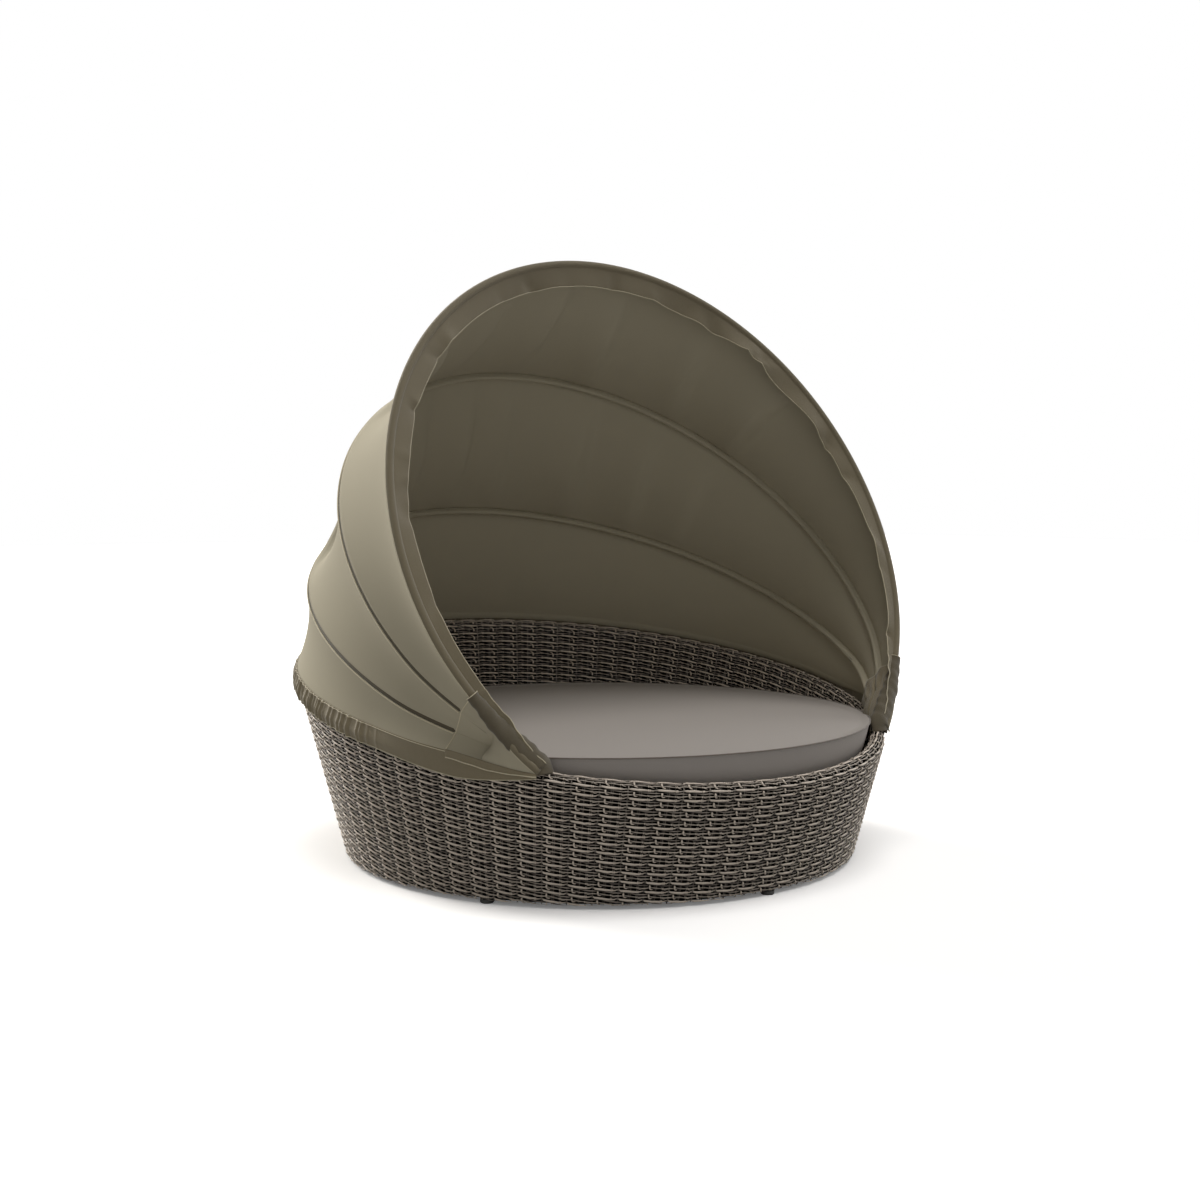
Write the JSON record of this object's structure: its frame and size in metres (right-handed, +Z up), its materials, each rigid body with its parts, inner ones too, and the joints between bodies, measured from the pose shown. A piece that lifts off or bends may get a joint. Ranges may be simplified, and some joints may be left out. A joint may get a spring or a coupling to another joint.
{
  "type": "outdoor daybed with canopy",
  "caption": "Round woven daybed: an outward-leaning tub under a tilted rim, a thick round cushion on slats, and a hooped cloth canopy that folds back on two rim hinges.",
  "frame": {"origin": "on the floor under the middle of the tub, at the flat underside of the centre glide", "axes": "+Z up; -Y towards the open front, where the rim is lowest; +X to the right as one looks from the front towards the back"},
  "size_m": [1.7022, 1.6989, 1.6867],
  "materials": {
    "wicker": "round-edged plastic wicker strand, warm grey-brown, woven in a broken twill",
    "frame_tube": "powder coated, satin dark grey-brown",
    "hoop_tube": "powder coated, satin dark grey-brown",
    "slat_wood": "planed and oiled, fine straight grain",
    "nylon": "moulded, fine matt texture",
    "steel": "stainless, lightly brushed",
    "canopy_cloth": "plain-woven outdoor cloth, khaki taupe, seams stitched in a paler thread",
    "cushion_cloth": "warm grey-taupe outdoor cloth with a fine upright rib on the side panel"
  },
  "bodies": {
    "base": {"outer_weave": "wicker", "inner_weave": "wicker", "rim_braid": "wicker", "bottom_ring": "frame_tube", "top_ring": "frame_tube", "deck_ring": "frame_tube", "upright_1": "frame_tube", "upright_2": "frame_tube", "upright_3": "frame_tube", "upright_4": "frame_tube", "upright_5": "frame_tube", "upright_6": "frame_tube", "upright_7": "frame_tube", "upright_8": "frame_tube", "deck_beam_left": "frame_tube", "deck_beam_centre": "frame_tube", "deck_beam_right": "frame_tube", "centre_leg": "frame_tube", "slat_1": "slat_wood", "slat_2": "slat_wood", "slat_3": "slat_wood", "slat_4": "slat_wood", "slat_5": "slat_wood", "slat_6": "slat_wood", "slat_7": "slat_wood", "glide_1": "nylon", "glide_2": "nylon", "glide_3": "nylon", "glide_4": "nylon", "glide_5": "nylon", "glide_6": "nylon", "centre_glide": "nylon", "inner_spacer_left": "nylon", "outer_spacer_left": "nylon", "inner_spacer_right": "nylon", "outer_spacer_right": "nylon", "hinge_bracket_left": "steel", "pivot_pin_left": "steel", "pivot_nut_left": "steel", "hinge_bracket_right": "steel", "pivot_pin_right": "steel", "pivot_nut_right": "steel", "skirt": "canopy_cloth", "corner_patch_left": "canopy_cloth", "corner_patch_right": "canopy_cloth"},
    "rear_bow": {"rear_hoop": "hoop_tube", "rear_link_left": "steel", "rear_link_right": "steel", "rear_panel": "canopy_cloth"},
    "middle_bow": {"middle_hoop": "hoop_tube", "middle_link_left": "steel", "middle_link_right": "steel", "middle_panel": "canopy_cloth"},
    "front_bow": {"front_hoop": "hoop_tube", "front_link_left": "steel", "front_link_right": "steel", "front_panel": "canopy_cloth", "front_hem": "canopy_cloth"},
    "cushion": {"cushion": "cushion_cloth"}
  },
  "joints": [
    {"name": "canopy_rear", "type": "hinge", "parent": "base", "child": "rear_bow", "pos_m": [0, -0.549, 0.36674], "axis": [-1, 0, 0], "range_deg": [0, 12.3], "deforming": ["rear_panel", "corner_patch_left", "corner_patch_right"]},
    {"name": "canopy_middle", "type": "hinge", "parent": "rear_bow", "child": "middle_bow", "pos_m": [0, -0.549, 0.36674], "axis": [-1, 0, 0], "range_deg": [0, 13.5], "deforming": ["middle_panel"]},
    {"name": "canopy_front", "type": "hinge", "parent": "middle_bow", "child": "front_bow", "pos_m": [0, -0.549, 0.36674], "axis": [-1, 0, 0], "range_deg": [0, 13.8], "deforming": ["front_panel"]},
    {"name": "cushion_lift", "type": "slide", "parent": "base", "child": "cushion", "axis": [0, 0, 1], "range_m": [0, 0.1]}
  ],
  "couplings": [
    {"joint": "canopy_middle", "follows": "canopy_rear", "ratio": 1.0975},
    {"joint": "canopy_front", "follows": "canopy_rear", "ratio": 1.1219}
  ]
}
